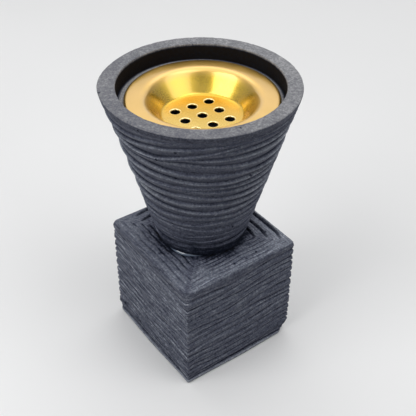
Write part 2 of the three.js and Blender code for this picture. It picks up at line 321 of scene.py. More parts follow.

# Painted light and shade of the layers: a painted highlight on a crest and under the next one, painted shade
# in the corner between and in the layer's depth. Widths are those at the sides, and what is added at the
# front.
CUP_TONE = -0.08
CREST_HIGHLIGHT = 0.74
CORNER_SHADE = 0.42
DEPTH_SHADE = 0.14
CREST_WIDTH = (0.0004, 0.0006)
BROW_WIDTH = (0.0004, 0.0005)
CORNER_WIDTH = (0.0008, 0.0007)
BROW_SHARE = 0.85
BROW_RISE_SHARE = 0.12
CORNER_PLACE = 0.0003

# Strength of the painted highlights and shade of the thin layers and of the streaks, and what is added low
# down
CUP_FINE_LIGHT_SHADE = (0.18, 0.1)
CUP_STREAK = (0.18, 0.06)

# Shade over the foot, all round and more at the front and the right
FOOT_SHADES = [(1.2, 0.0042), (0.22, 0.014)]
FOOT_SHADE = (0.4, 0, 0.0095)
FOOT_SHADE_TURN = (radians(-22), radians(18))

# Foot, band, rim, recess, shelf and well: tone, streaks, and how far blue-black turns to warm grey. The dark
# foot and the very dark recess are painted shade, the pale rim and shelf painted light; the well is darker.
FACE_LOOKS = [(-1, 0, 0), (-0.1, 0.2, 0.3), (0.46, 0.12, 1), (-2, 0, 0.6), (0.9, 0, 1), (-0.5, 0, 0.6)]
# Painted light on the rim: paler on its right and at the back, darker at the front and a little on its left
RIM_SIDE_LIGHT = (0.12, 0.06)
RIM_BACK_LIGHT = 0.1

# Lumps and grit on the wall, grit and chipped edges on the rim
LUMP_SIZE = (0.009, 0.009, 0.0018)
GRIT_SIZE = (0.0016, 0.0016, 0.0009)
CUP_ROUGHNESS = 0.00006
LUMP_TONE = 0.12
RIM_ROUGHNESS = 0.00005
RIM_START = 0.0008
RIM_EDGE_WIDTH = 0.0007
CHIP_SIZE = 0.0022
CHIP_START = 0.15
CHIP_REACH = 0.0012
CHIP_DEPTH = 0.00028
CHIP_TONE = 0.4

# Crests from the foot up, in shares of the ridged height: height at the front, climb to the right, climb to
# both sides, and 1 for a branch, which closes up with a neighbour
CUP_CRESTS = [
    (0.045, -0.019, 0, 0), (0.083, 0.017, 0, 0), (0.146, 0, 0.019, 0), (0.192, 0.004, 0.019, 0),
    (0.249, -0.01, 0.006, 0), (0.304, 0.01, 0, 0), (0.362, 0, 0, 0), (0.414, -0.02, 0.015, 0),
    (0.483, -0.028, 0, 0), (0.545, -0.029, -0.015, 0), (0.608, -0.057, 0, 1), (0.623, 0, 0.004, 0),
    (0.669, -0.019, 0.015, 0), (0.733, -0.043, 0, 0), (0.811, -0.035, -0.033, 0), (0.862, -0.031, 0, 1),
    (0.893, 0.006, 0, 1), (0.891, 0.138, 0, 1), (0.946, 0.05, -0.063, 0), (0.981, 0.025, -0.05, 0),
    (0.99, 0, 0, 1),
]

# Single pits and pale grains on the wall: degrees from the front, height over the foot
CUP_PITS = [(-16.7, 0.0301), (-5.4, 0.0242), (17.9, 0.0263), (-25.6, 0.0433), (-32.7, 0.0419), (48, 0.052)]
CUP_GRAINS = [(-14.9, 0.0805), (-27.1, 0.0781), (12.9, 0.0318)]
PIT_RADIUS = 0.00042
PIT_DEPTH = 0.0003
PIT_TONE = 0.9
GRAIN_RADIUS = 0.8 * PIT_RADIUS
GRAIN_TONE = 2.2

cup_angle = (turns(CUP_COLUMNS) - CUP_FRONT + TURN / 2) % TURN - TURN / 2
cup_bulge = hills(cup_angle, BULGE)


def cone_radius(height):
    return FOOT_RADIUS + (BAND_RADIUS - FOOT_RADIUS) * height / WALL_TOP


def cup_crests():
    crests = [
        WALL_TOP * wander(front, right, side, cup_angle) + waver(cup_angle, index)
        for index, (front, right, side, _) in enumerate(CUP_CRESTS)
    ]
    crests.append(np.full(CUP_COLUMNS, WALL_TOP))
    for index in range(len(crests) - 2, 0, -1):
        if CUP_CRESTS[index][3]:
            crests[index] = np.minimum(crests[index], crests[index + 1] - LAYER_LEAST)
    for index in range(1, len(crests) - 1):
        crests[index] = np.maximum(crests[index], crests[index - 1] + LAYER_LEAST)
    return np.array(crests)


def cup_wall():
    """Radii, heights, tones, layers, streaks and warmth of the rows up the ridged wall."""
    crests = cup_crests()
    index, share = layer_rows(crests, CUP_ROW_STEP)
    rise = crests[index + 1] - crests[index]
    heights = crests[index] + share * rise
    ground = circle(FOOT_RADIUS, 0, CUP_COLUMNS)
    level = index[:, None] + share
    fade = within(heights, 0, WALL_TOP, *WALL_FADES)
    low = climb(-heights, -CALM_HIGH, CALM_LOW)

    calm = grow(CALM_SHARES, climb(heights, CALM_LOW, CALM_HIGH - CALM_LOW)) + hills(heights, FOOT_LAYER)
    strength = calm * strength_along(ground, index[:, None], *CUP_STRENGTH) * climb(rise, 0, LAYER_FULL)
    # Painted highlights and shade are weaker at the front, stronger at the sides
    in_front = hills(cup_angle, FRONT_PART)
    soft = grow(FRONT_SHARES, in_front)
    depth = layer_depth(share)
    fine, fine_light_shade = fine_layers(level, ground, *CUP_FINE)

    radii = cone_radius(heights)
    uneven = CREST_UNEVEN * (1 + np.sin(CREST_WAVES * cup_angle + WAVER_STEP * level)) / 2
    radii -= uneven * climb(-heights, -WALL_TOP, WALL_FADES[1])
    radii -= LEDGE_DEPTH * strength * depth * grow(LEDGE_SHARES, soft)
    radii -= fade * grow(CUP_FINE_DEPTH, heights / WALL_TOP) * fine
    radii += cup_bulge * climb(heights, BULGE_LOW, BULGE_RISE)
    swelling = hills(cup_angle, SWELL) * within(heights, *SWELL_SPAN)
    radii -= swelling * (1 - np.cos(TURN * (heights - SWELL_CREST) / SWELL_PITCH))

    # Painted highlights on each crest and under the next one, painted shade in the corner and the depth
    crest = bell(share * rise, grow(CREST_WIDTH, in_front))
    brow = np.exp(-(1 - share) * rise / (grow(BROW_WIDTH, in_front) + BROW_RISE_SHARE * rise))
    corner = bell((share - LEDGE_SHARE) * rise - CORNER_PLACE, grow(CORNER_WIDTH, in_front))
    relief = CREST_HIGHLIGHT * (crest + BROW_SHARE * brow) - CORNER_SHADE * corner - DEPTH_SHADE * depth
    tones = CUP_TONE + strength * soft * relief + grow(CUP_FINE_LIGHT_SHADE, low) * fade * fine_light_shade
    tones -= shade(heights, FOOT_SHADES)
    tones -= climb(cup_angle, *FOOT_SHADE_TURN) * hills(heights, FOOT_SHADE)
    layers = np.broadcast_to(level * WALL_TOP / (len(crests) - 1), heights.shape)
    return radii, heights, tones, layers, grow(CUP_STREAK, low), np.zeros_like(heights)


def flat_rows(places, looks):
    """Level rows of one of the cup's other faces, from radii and heights over the foot."""
    radii, heights = (np.repeat(np.array(column)[:, None], CUP_COLUMNS, axis=1) for column in zip(*places))
    radii += cup_bulge * (heights > BULGE_LOW) * np.clip((radii - RECESS_RADIUS) / RIM_LAND, 0, 1)
    tone, streak, warmth = (np.full_like(radii, look) for look in looks)
    return radii, heights, tone, heights, streak, warmth


def cup_faces():
    """Rows of the cup's foot, band, rim, recess, ledge and well, as (radius, height)."""
    foot = [(FOOT_RADIUS - FOOT_ROUND, 0)]
    foot += quarter_bend(foot[0], (FOOT_RADIUS, 0), (FOOT_RADIUS, FOOT_ROUND), steps=3)
    top = CUP_HEIGHT
    ledge = top - RECESS_DEPTH
    mouth = np.array([RECESS_RADIUS - LEDGE_WIDTH, ledge])
    corner = np.array([WELL_FLOOR_RADIUS, ledge - WELL_DEPTH])
    bend_start = corner + (mouth - corner) * WELL_CORNER / np.linalg.norm(mouth - corner)
    bend_end = corner - np.array([WELL_CORNER, 0])
    band = [(BAND_RADIUS, WALL_TOP)]
    band += between(band[0], (RIM_RADIUS, top - RIM_ROUND), steps=5)
    rim = quarter_bend(band[-1], (RIM_RADIUS, top), (RIM_RADIUS - RIM_ROUND, top), steps=3)
    rim += between(rim[-1], (RECESS_RADIUS + RIM_ROUND, top), steps=9)
    rim += quarter_bend(rim[-1], (RECESS_RADIUS, top), (RECESS_RADIUS, top - RIM_ROUND), steps=3)
    recess = between(rim[-1], (RECESS_RADIUS, ledge), steps=6)
    shelf = between(recess[-1], tuple(mouth), steps=5)
    well = between(shelf[-1], tuple(bend_start), steps=8)
    well += quarter_bend(bend_start, corner, bend_end, steps=4)
    return foot, band, rim, recess, shelf, well


def wall_places(places):
    degrees, heights = np.array(places).T
    radii, angles = cone_radius(heights), CUP_FRONT + np.radians(degrees)
    return np.stack([radii * np.cos(angles), radii * np.sin(angles), heights], axis=-1)


def make_cup():
    foot, *others = (flat_rows(*face) for face in zip(cup_faces(), FACE_LOOKS))
    wall = cup_wall()
    parts = [foot, wall, *others]
    radii, heights, tones, layers, streaks, warmth = (np.vstack(field) for field in zip(*parts))
    is_wall = np.vstack([np.full((len(part[0]), 1), part is wall) for part in parts])

    rings = circle(radii, heights, CUP_COLUMNS)
    normals = outward_normals(rings)
    lumps = noise_at(rings, LUMP_SIZE, seed=3)
    grit = noise_at(rings, GRIT_SIZE, seed=7)
    on_wall = is_wall * climb(heights, 0, WALL_FADES[0])
    on_rim = ~is_wall & (heights > CUP_HEIGHT - RECESS_DEPTH + RIM_START)
    edge = bell(radii - RIM_RADIUS, RIM_EDGE_WIDTH) + bell(radii - RECESS_RADIUS, RIM_EDGE_WIDTH)
    chips = np.clip(noise_at(rings, CHIP_SIZE, seed=13) - CHIP_START, 0, 1)
    chips = on_rim * edge * chips * bell(heights - CUP_HEIGHT, CHIP_REACH)
    pits = spots(rings, wall_places(CUP_PITS), PIT_RADIUS)
    grains = spots(rings, wall_places(CUP_GRAINS), GRAIN_RADIUS)

    rough = CUP_ROUGHNESS * on_wall * (lumps + grit) - RIM_ROUGHNESS * on_rim * (1 + grit)
    rough = rough - CHIP_DEPTH * chips - PIT_DEPTH * pits
    rings += normals * rough[..., None]
    rings[..., 2] += cup_low.z
    sideways = np.sin(cup_angle)
    # Painted light on the rim, by direction
    rim_light = grow(RIM_SIDE_LIGHT, sideways) * sideways - RIM_BACK_LIGHT * np.cos(cup_angle)
    tones = tones + on_rim * rim_light + LUMP_TONE * on_wall * lumps
    tones = tones - CHIP_TONE * chips - PIT_TONE * pits + GRAIN_TONE * grains
    piece = closed_skin("cast_cup", rings, tone=tones, layer=layers, streak=streaks, warmth=warmth)
    finish_piece(piece, "stand", "cast_stone", cast_stone, "cup")


# Block

LIP_SWELL = 0.0005
BLOCK_HALF = (block_high - block_low)[:2] / 2 - LIP_SWELL
BLOCK_TOP = block_high[2] - block_low[2]
BLOCK_CENTRE = (block_high + block_low)[:2] / 2
BLOCK_EDGE = 0.0009
BLOCK_ROW_STEP = 0.00046
BLOCK_FADES = (0.001, 0.002)
CORNER_STEPS = 5
SIDE_STEPS = 100
TOP_ROUND = 0.0006
MIDDLE_SAG_SHARE = 0.02

# Lip along the bottom. Its shape has shares of its height and of its inset.
LIP_HEIGHT = 0.0017
LIP_INSET = 0.00025
LIP_SHAPE = [(0, 1.0), (0.2, 0.3), (0.55, 0), (0.85, 0.2)]
LIP_TONE = 0.8
LIP_STREAK = 0.2

# Notches between the layers, the deepest over the lip
NOTCH_DEPTH = 0.001
NOTCH_WIDTH = 0.0006
NOTCH_MOST = 1.2
NOTCH_STRENGTH = (0.014, (0.8, 0.9), 0.2, 1.2, 2)
LIP_NOTCH_STRENGTH = 1.5
LOW_NOTCH_LEAST = 1.1
SHOULDER_DEPTH = 0.0003
SHOULDER_BEND = 2.5

# Waves of the notches: height, length, lift and seed of their noise
NOTCH_WAVES = [(0.0003, 0.006, 1.7, 51), (0.0011, 0.018, 0.8, 57)]

BLOCK_FINE = (2.1, 0.022, 0.009, 23)
BLOCK_FINE_DEPTH = 0.0003

# Painted shade in each notch, a painted highlight over it and one under it, and painted shade low down
NOTCH_SHADE_WIDTH = 0.0004
HIGHLIGHT_OVER = (1, 0.0012, 0.0006)
HIGHLIGHT_UNDER = (1, 0.001, 0.0006)
LOW_SHADE_FADE = (-0.024, 0.02)

# Strengths of what covers the sides, and what is added on the two dashed sides. The first entry is the
# painted highlights by the notches, the second the painted shade in them, the third the painted shade low
# down, and the fourth the painted light and shade of the thin layers.
COVER = {
    "pale": (0.2, 0.2),
    "notch_shade": (0.62, -0.1),
    "bottom": (0.14, 0.1),
    "fine": (0.24, 0.36),
    "streak": (0.34, 0.22),
}

# The upright front edge is paler, a painted highlight, and plainer, with less relief and less painted
# highlight and shade by the notches. Pairs hold away from it, and what is added there.
FRONT_EDGE_WIDTH = 0.0011
SIDE_TONE_AND_EDGE_HIGHLIGHT = (0.03, 0.2)
FRONT_RELIEF = (1, -0.6)
FRONT_HIGHLIGHT = (1, -0.7)
FRONT_NOTCH_SHADE = (1, -0.75)

# Notches from the bottom up, in shares of the block's height: height at the front corner, climb to the right,
# climb to both side corners
BLOCK_NOTCHES = [
    (0.062, 0, 0.003), (0.125, 0.003, 0.022), (0.18, 0, 0.02), (0.236, -0.005, 0.016),
    (0.304, -0.011, 0.018), (0.377, 0.008, 0.025), (0.452, 0.015, 0.01), (0.516, 0.01, 0.002),
    (0.572, 0, 0.028), (0.635, 0.01, 0.042), (0.695, 0.011, 0.042), (0.756, -0.006, 0.048),
    (0.82, 0, 0.052), (0.884, 0.006, 0.04),
]

# Worn corners: towards where, how much is gone at the bottom or top, and over which height
WORN_CORNERS = [
    ((1, 1), 0.0046, 0.0, 0.009),
    ((-1, -1), 0.0024, 0.0, 0.007),
    ((1, -1), 0.0022, BLOCK_TOP, 0.022),
    ((-1, -1), 0.0016, BLOCK_TOP, 0.003),
    ((1, 1), 0.0016, BLOCK_TOP, 0.003),
]
WORN_CROWN_SHARE = 0.1

# Single pits, before the block is moved to its place
BLOCK_PITS = [
    (0.0287, -0.0011, 0.061), (0.0287, 0.0058, 0.061), (0.0017, -0.0263, 0.061), (-0.0265, -0.0325, 0.008),
    (0.0326, -0.0318, 0.0057), (0.0334, 0.011, 0.038),
]
BLOCK_PIT_RADIUS = 1.8 * PIT_RADIUS
BLOCK_PIT_DEPTH = 0.0004

# Rough surface, which begins below the top of the lip
TEAR_SIZE = (0.007, 0.007, 0.0007)
TEAR_DEPTH = 0.00006
TEAR_TONE = 0.06
BLOCK_GRIT_SIZE = 0.0011
BLOCK_GRIT_DEPTH = 0.00008
BLOCK_GRIT_TONE = 0.12
ROUGH_CLIMB = (0.6 * LIP_HEIGHT, 0.001)

# Dark flecks and shade on the top, round the cup's foot
CROWN_HEIGHT = 0.003
FLECK_SIZE = (0.0024, 0.0013, 0.002)
FLECK_CLIMB = (0.12, 0.2)
FLECK_SHADES = [(0.75, 0.006)]
CROWN_SHADES = [(0.9, 0.0018), (0.5, 0.007)]


def raised(places, heights):
    return np.column_stack([places, heights + np.zeros(len(places))])


def rounded_rectangle(inset=0.0):
    """Points of the block's outline and their outward directions, from the corner at +X -Y."""
    radius = BLOCK_EDGE * (1 - inset / BLOCK_HALF[0])
    half = BLOCK_HALF - inset
    points, outwards = [], []
    centres = np.array([(1, -1), (1, 1), (-1, 1), (-1, -1)]) * (half - radius)
    for quarter, centre in enumerate(centres):
        for step in range(CORNER_STEPS + 1):
            angle = TURN * (quarter - 1 + step / CORNER_STEPS) / 4
            outwards.append(np.array([cos(angle), sin(angle)]))
            points.append(centre + radius * outwards[-1])
        start, end = points[-1], centres[(quarter + 1) % 4] + radius * outwards[-1]
        points += [start + (end - start) * step / SIDE_STEPS for step in range(1, SIDE_STEPS)]
        outwards += [outwards[-1]] * (SIDE_STEPS - 1)
    return np.array(points), np.array(outwards)


outline, outline_out = rounded_rectangle()
outline_angle = np.arctan2(*(outline / BLOCK_HALF).T[::-1]) - BLOCK_FRONT
outline_ground = raised(outline, 0)
between_corners = (1 - np.cos(4 * outline_angle)) / 2
near_front = bell(np.linalg.norm(outline - BLOCK_HALF * (1, -1), axis=1), FRONT_EDGE_WIDTH)

# 1 on the sides towards -Y and +Y, which short pale dashes cover, 0 on the other two
dashed = np.abs(outline_out[:, 1])
cover = {name: grow(pair, dashed) for name, pair in COVER.items()}


def block_levels():
    """Heights of the lip, the notches and the top edge, all round."""
    sag = MIDDLE_SAG_SHARE * between_corners
    notches = []
    for index, (front, right, side) in enumerate(BLOCK_NOTCHES):
        height = BLOCK_TOP * (wander(front, right, side, outline_angle) - sag)
        height += waver(outline_angle, index)
        for reach, length, lift, seed in NOTCH_WAVES:
            height += reach * layer_noise(outline_ground, length, index, lift, seed)
        notches.append(height)
    lip = np.full(len(outline), LIP_HEIGHT)
    top = np.full(len(outline), BLOCK_TOP - TOP_ROUND)
    return np.array([lip, *notches, top])


def worn(points):
    """Points with the worn corners cut off nearly flat."""
    for corner, reach, height, span in WORN_CORNERS:
        towards = np.array(corner) / sqrt(2)
        sharp = BLOCK_HALF.sum() / sqrt(2)
        gone = reach * np.clip(1 - np.abs(points[..., 2] - height) / span, 0, 1)
        over = np.clip(points[..., :2] @ towards - (sharp - gone), 0, None)
        over = over * (gone > 0) * (1 - WORN_CROWN_SHARE)
        points = points - over[..., None] * np.array([*towards, 0])
    return points


def notch_strengths(count):
    """Depth of each notch round the block, which fades here and there."""
    strengths = strength_along(outline_ground, np.arange(count)[:, None], *NOTCH_STRENGTH)
    strengths[0] = LIP_NOTCH_STRENGTH
    strengths[1] = np.maximum(strengths[1], LOW_NOTCH_LEAST)
    strengths[-1] = 0
    return strengths


def block_lip():
    """Points, tones, layers and streaks of the smooth lip, which swells out between the corners."""
    rows = []
    for up, inset_share in LIP_SHAPE:
        inset = LIP_INSET * inset_share - LIP_SWELL * between_corners
        rows.append(raised(outline - outline_out * inset[:, None], LIP_HEIGHT * up))
    lip = np.array(rows)
    shape = lip.shape[:-1]
    return lip, np.full(shape, LIP_TONE), lip[..., 2] - LIP_HEIGHT, np.full(shape, LIP_STREAK)


def block_sides():
    """Points, tones, layers and streaks of the rows up the block's sides."""
    levels = block_levels()
    index, share = layer_rows(levels, BLOCK_ROW_STEP)
    rise = levels[index + 1] - levels[index]
    heights = levels[index] + share * rise
    level = index[:, None] + share
    fade = within(heights, LIP_HEIGHT, BLOCK_TOP, *BLOCK_FADES)
    fine, fine_light_shade = fine_layers(level, outline_ground, *BLOCK_FINE)

    strengths = notch_strengths(len(levels))
    below, above = strengths[index], strengths[index + 1]
    from_below, from_above = share * rise, (1 - share) * rise

    def near_notches(width):
        return below * np.exp(-from_below / width) + above * np.exp(-from_above / width)

    is_top = (index[:, None] == index.max()) & (share > 0.5)
    shoulder = np.where(is_top, 0, np.abs(2 * share - 1) ** SHOULDER_BEND)
    insets = NOTCH_DEPTH * np.clip(near_notches(NOTCH_WIDTH), 0, NOTCH_MOST) + SHOULDER_DEPTH * shoulder
    insets = insets * grow(FRONT_RELIEF, near_front) + fade * BLOCK_FINE_DEPTH * fine
    flat = outline - outline_out * insets[..., None]
    sides = np.concatenate([flat, heights[..., None]], axis=-1)

    # Painted highlights over and under each notch, painted shade in it and low down
    pale = below * hills(from_below, HIGHLIGHT_OVER) + above * hills(from_above, HIGHLIGHT_UNDER)
    pale *= grow(FRONT_HIGHLIGHT, near_front)
    notch_shade = near_notches(NOTCH_SHADE_WIDTH) * grow(FRONT_NOTCH_SHADE, near_front)
    bottom = climb(-heights, *LOW_SHADE_FADE)
    tones = grow(SIDE_TONE_AND_EDGE_HIGHLIGHT, near_front) + cover["fine"] * fade * fine_light_shade
    tones = tones + cover["pale"] * pale - cover["notch_shade"] * notch_shade - cover["bottom"] * bottom
    layers = np.broadcast_to(level * BLOCK_TOP / (len(levels) - 1), heights.shape)
    return sides, tones, layers, np.broadcast_to(cover["streak"], heights.shape)


TOP_STEPS = 43
TOP_INNER_INSET = 0.0175
TOP_TONE = 0.41

# Each pair holds for the side towards +X and for the other sides
RIDGE_PITCHES = (0.0022, 0.0032)
RIDGE_DEPTHS = (0.0006, 0.0007)
TOP_STREAKS = (0.36, 0.3)

# Ridges along the two front edges of the top. Their waves have a height in pitches, a length and a seed.
RIDGE_START = 0.0012
RIDGE_EDGE_FADE = 0.002
RIDGE_NOTCH_WIDTH = 0.0005
RIDGE_WAVES = [(0.4, 0.013, 4), (0.06, 0.0035, 6)]
RIDGE_RUN = 0.012
RIDGE_PRESENCE = (0.75, 1.3)
# Painted highlights on the ridges' crests and painted shade in their notches
RIDGE_HIGHLIGHT_LINES = [(1, 0.22, 0.12), (0.6, 0.7, 0.14)]
RIDGE_HIGHLIGHT = 0.36
RIDGE_NOTCH_SHADE = (0.8, 0.4)
# Painted light: the top's part towards +X is paler
RIGHT_PAINTED_LIGHT = 0.22

# The ridges and their painted highlights and shade are calmer in the mitre between the two edges, and
# stronger further in. The top is also darker in the mitre and further in.
MITRE_FADE = (0.0005, 0.004)
MITRE_CALM = 0.75
MITRE_TONE = 0.26
INNER_CLIMB = (0.004, 0.006)
INNER_CREST = (1, 0.9)
INNER_TONE = 0.1

# Grooves beside the back and the left edge of the top: distance from the edge, and from its ends
BACK_GROOVES = [(0.0026, 0.0062), (0.0078, 0.0108), (0.0129, 0.014)]
LEFT_GROOVES = [(0.0026, 0.0115), (0.0076, 0.012), (0.0125, 0.016)]
GROOVE_WIDTH = 0.0009
GROOVE_DEPTH = 0.0015
GROOVE_TAPER = 0.009
GROOVE_BEND = 0.0014
GROOVE_FULLNESS = 1.3
# Painted shade in the grooves
GROOVE_SHADE = 0.9


def side_grooves(inset, along, half, grooves):
    """Depth share of the grooves beside one edge of the top, which taper before its ends."""
    drop = np.zeros_like(inset)
    for middle, gap in grooves:
        taper = np.clip((half - gap - np.abs(along)) / GROOVE_TAPER, 0, 1)
        away = inset - middle - GROOVE_BEND * (1 - taper) ** 2
        groove = GROOVE_FULLNESS * np.sqrt(taper) - (away / GROOVE_WIDTH) ** 2
        drop = np.maximum(drop, np.clip(groove, 0, 1))
    return drop


def top_layer(points):
    """Depth, tone, layer and streak of the top: torn ridges at the front, straight grooves at the back."""
    x, y = points.T
    half_width, half_depth = BLOCK_HALF
    from_right, from_front = half_width - x, half_depth + y
    from_left, from_back = half_width + x, half_depth - y
    front = np.minimum(from_right, from_front)
    back = np.minimum(from_left, from_back)
    is_front = front <= back + HAIR
    is_right = from_right < from_front
    where = raised(points, 0)

    pitch = np.where(is_right, *RIDGE_PITCHES)
    level = (front - RIDGE_START) / pitch
    for reach, length, seed in RIDGE_WAVES:
        level += reach * noise_at(where, length, seed)
    share = level - np.floor(level)
    notch = np.exp(-np.minimum(share, 1 - share) * pitch / RIDGE_NOTCH_WIDTH)
    mitre = 1 - climb(np.abs(from_right - from_front), *MITRE_FADE)
    inner = climb(front, *INNER_CLIMB)
    present = climb(grow(RIDGE_PRESENCE, noise_at(where, RIDGE_RUN, seed=8)))
    present = present * climb(front, 0, RIDGE_EDGE_FADE) * (1 - MITRE_CALM * mitre)
    ridges = present * notch
    crest = present * grow(INNER_CREST, inner) * hills(share, *RIDGE_HIGHLIGHT_LINES)
    front_tone = RIDGE_HIGHLIGHT * crest - grow(RIDGE_NOTCH_SHADE, inner) * ridges
    front_tone = front_tone - INNER_TONE * inner - MITRE_TONE * mitre

    grooves = np.maximum(
        side_grooves(from_back, x, half_width, BACK_GROOVES),
        side_grooves(from_left, y, half_depth, LEFT_GROOVES),
    )
    drop = np.where(is_front, np.where(is_right, *RIDGE_DEPTHS) * ridges, GROOVE_DEPTH * grooves)
    tone = TOP_TONE + np.where(is_front, front_tone, -GROOVE_SHADE * grooves) + RIGHT_PAINTED_LIGHT * is_right
    layer = BLOCK_TOP + np.where(is_front, front, back)
    return drop, tone, layer, np.where(is_right, *TOP_STREAKS)


def block_top():
    """Points, tones, layers and streaks of the rings of the top, from its edge inwards."""
    rings, fields = [], []
    for step in range(TOP_STEPS + 1):
        inset = TOP_ROUND + (TOP_INNER_INSET - TOP_ROUND) * step / TOP_STEPS
        points, _ = rounded_rectangle(inset)
        drop, *values = top_layer(points)
        rings.append(raised(points, BLOCK_TOP - drop))
        fields.append(values)
    return np.array(rings), *(np.array(field) for field in zip(*fields))


def make_block():
    parts = [block_lip(), block_sides(), block_top()]
    body, tones, layers, streaks = (np.concatenate(field) for field in zip(*parts))
    body = worn(body)
    normals = outward_normals(body)
    tears = noise_at(body, TEAR_SIZE, seed=17)
    grit = noise_at(body, BLOCK_GRIT_SIZE, seed=19)
    above_lip = climb(body[..., 2], *ROUGH_CLIMB)
    pits = spots(body, BLOCK_PITS, BLOCK_PIT_RADIUS)
    rough = above_lip * (TEAR_DEPTH * tears + BLOCK_GRIT_DEPTH * grit) - BLOCK_PIT_DEPTH * pits
    tones = tones + above_lip * (TEAR_TONE * tears + BLOCK_GRIT_TONE * grit) - PIT_TONE * pits
    body += normals * rough[..., None]
    body[..., 2] = np.clip(body[..., 2], 0, BLOCK_TOP)
    body[..., :2] += BLOCK_CENTRE

    on_top = body[..., 2] > BLOCK_TOP - CROWN_HEIGHT
    from_foot = np.clip(np.linalg.norm(body[..., :2], axis=-1) - FOOT_RADIUS, 0, None)
    flecks = climb(noise_at(body, FLECK_SIZE, seed=37), *FLECK_CLIMB) * shade(from_foot, FLECK_SHADES)
    tones -= on_top * (flecks + shade(from_foot, CROWN_SHADES))
    body[..., 2] += block_low[2]
    piece = closed_skin("cast_block", body, tone=tones, layer=layers, streak=streaks)
    finish_piece(piece, "stand", "cast_stone", cast_stone, "block")


# Bowl

SHEET = 0.0009
FLANGE_RADIUS = (bowl_high.x - bowl_low.x) / 2
BOWL_CENTRE = (bowl_high.x + bowl_low.x) / 2
BOWL_TOP = bowl_high.z
BOWL_FLOOR_RADIUS = 0.0187
BOWL_MOUTH_RADIUS = 0.0262
BOWL_DEPTH = 0.0099
SHOULDER_REACH = 0.002
FLOOR_CORNER = 0.0015
EDGE_ROLL_REACH = 0.0013
EDGE_ROLL_DROP = 0.0008
BOWL_COLUMNS = 180
HOLE_RADIUS = 0.0022
HOLE_WALL_GAP = 0.006
HOLE_PITCH = (BOWL_FLOOR_RADIUS - HOLE_WALL_GAP) / sqrt(2)
HOLE_TURN = radians(-4)
HOLE_SIDES = 36
HOLE_LIP = 0.0004
HOLE_MARGIN = 0.0002
LIP_STEPS = 6


def bowl_line():
    """Middle line of the sheet, out to the rolled edge, as (radius, height)."""
    half = SHEET / 2
    floor = np.array([BOWL_FLOOR_RADIUS, -BOWL_DEPTH - half])
    mouth = np.array([BOWL_MOUTH_RADIUS, -half])
    wall = (mouth - floor) / np.linalg.norm(mouth - floor)
    edge = FLANGE_RADIUS - half
    line = [(BOWL_FLOOR_RADIUS - FLOOR_CORNER, floor[1])]
    line += quarter_bend(line[0], floor, floor + wall * FLOOR_CORNER, steps=8)
    line += between(line[-1], tuple(mouth - wall * SHOULDER_REACH), steps=6)
    line += quarter_bend(line[-1], mouth, mouth + np.array([SHOULDER_REACH, 0]), steps=12)
    line += between(line[-1], (edge - EDGE_ROLL_REACH, -half), steps=4)
    line += quarter_bend(line[-1], (edge, -half), (edge, -half - EDGE_ROLL_DROP), steps=8)
    return np.array(line)


def hole_rings(floor):
    """Rings of one hole, from the underside up its wall and over its rounded lip."""
    bend = np.linspace(0, TURN / 4, LIP_STEPS)
    lip = [(HOLE_RADIUS + HOLE_LIP * (1 - cos(a)), floor - HOLE_LIP * (1 - sin(a))) for a in bend]
    under = [(HOLE_RADIUS + HOLE_MARGIN, floor - SHEET), (HOLE_RADIUS, floor - SHEET)]
    return revolve([*under, *lip, (HOLE_RADIUS + HOLE_LIP + HOLE_MARGIN, floor)], HOLE_SIDES)


def flat_face(points, outer, *inner):
    """Triangles between an outer ring and inner rings, each a list of places in points."""
    used = [place for ring in (outer, *inner) for place in ring]
    number = {place: index for index, place in enumerate(used)}
    edges = [(number[a], number[b]) for ring in (outer, *inner) for a, b in round_pairs(ring)]
    flat = [Vector(points[place][:2]) for place in used]
    made = geometry.delaunay_2d_cdt(flat, edges, [], 1, 1e-9)
    source = [used[origin[0]] for origin in made[3]]
    holes = [set(ring) for ring in inner]
    faces = [tuple(source[corner] for corner in face) for face in made[2]]
    return [face for face in faces if not any(hole.issuperset(face) for hole in holes)]


def face_outwards(piece):
    mesh = bmesh.new()
    mesh.from_mesh(piece.data)
    bmesh.ops.recalc_face_normals(mesh, faces=mesh.faces)
    mesh.to_mesh(piece.data)
    mesh.free()


def make_bowl():
    line = bowl_line()
    along = np.gradient(line, axis=0)
    along /= np.linalg.norm(along, axis=1, keepdims=True)
    normal = np.column_stack([-along[:, 1], along[:, 0]]) * SHEET / 2
    shell = revolve([*(line - normal), *(line + normal)[::-1]], BOWL_COLUMNS)
    hole = hole_rings(-BOWL_DEPTH)
    # The holes' walls and lips get a painted highlight
    hole_highlight_rows = np.ones(hole.shape[:2])
    hole_highlight_rows[[0, -1]] = 0

    points = shell.reshape(-1, 3).tolist()
    faces = wall_faces(0, len(shell), BOWL_COLUMNS)
    hole_highlight = [0.0] * len(points)
    under = [range(BOWL_COLUMNS)]
    upper = [range(len(points) - BOWL_COLUMNS, len(points))]
    for row in (-1, 0, 1):
        for column in (-1, 0, 1):
            spot = Matrix.Rotation(HOLE_TURN, 2) @ Vector((column * HOLE_PITCH, row * HOLE_PITCH))
            start = len(points)
            points += (hole + np.array([*spot, 0])).reshape(-1, 3).tolist()
            hole_highlight += hole_highlight_rows.reshape(-1).tolist()
            faces += wall_faces(start, len(hole), HOLE_SIDES)
            under.append(range(start, start + HOLE_SIDES))
            upper.append(range(len(points) - HOLE_SIDES, len(points)))
    faces += flat_face(points, *under)
    faces += flat_face(points, *upper)
    place = np.array([BOWL_CENTRE, 0, BOWL_TOP])
    piece = new_object("gold_bowl", (np.array(points) + place).tolist(), faces, radians(35))
    face_outwards(piece)
    add_field(piece, "hole_highlight", hole_highlight)
    finish_piece(piece, "bowl", "gold_metal", gold_metal, "bowl")


# Adhesive: a film under the foot, with a bead squeezed out at the front left

GLUE_COLUMNS = 180
BEAD_FRONT = CUP_FRONT - TURN * 0.064
BEAD_NARROWNESS = 26
BEAD_SIZE = 0.0007
FILM_EDGE = 0.0016
FILM_SHARE = 0.95

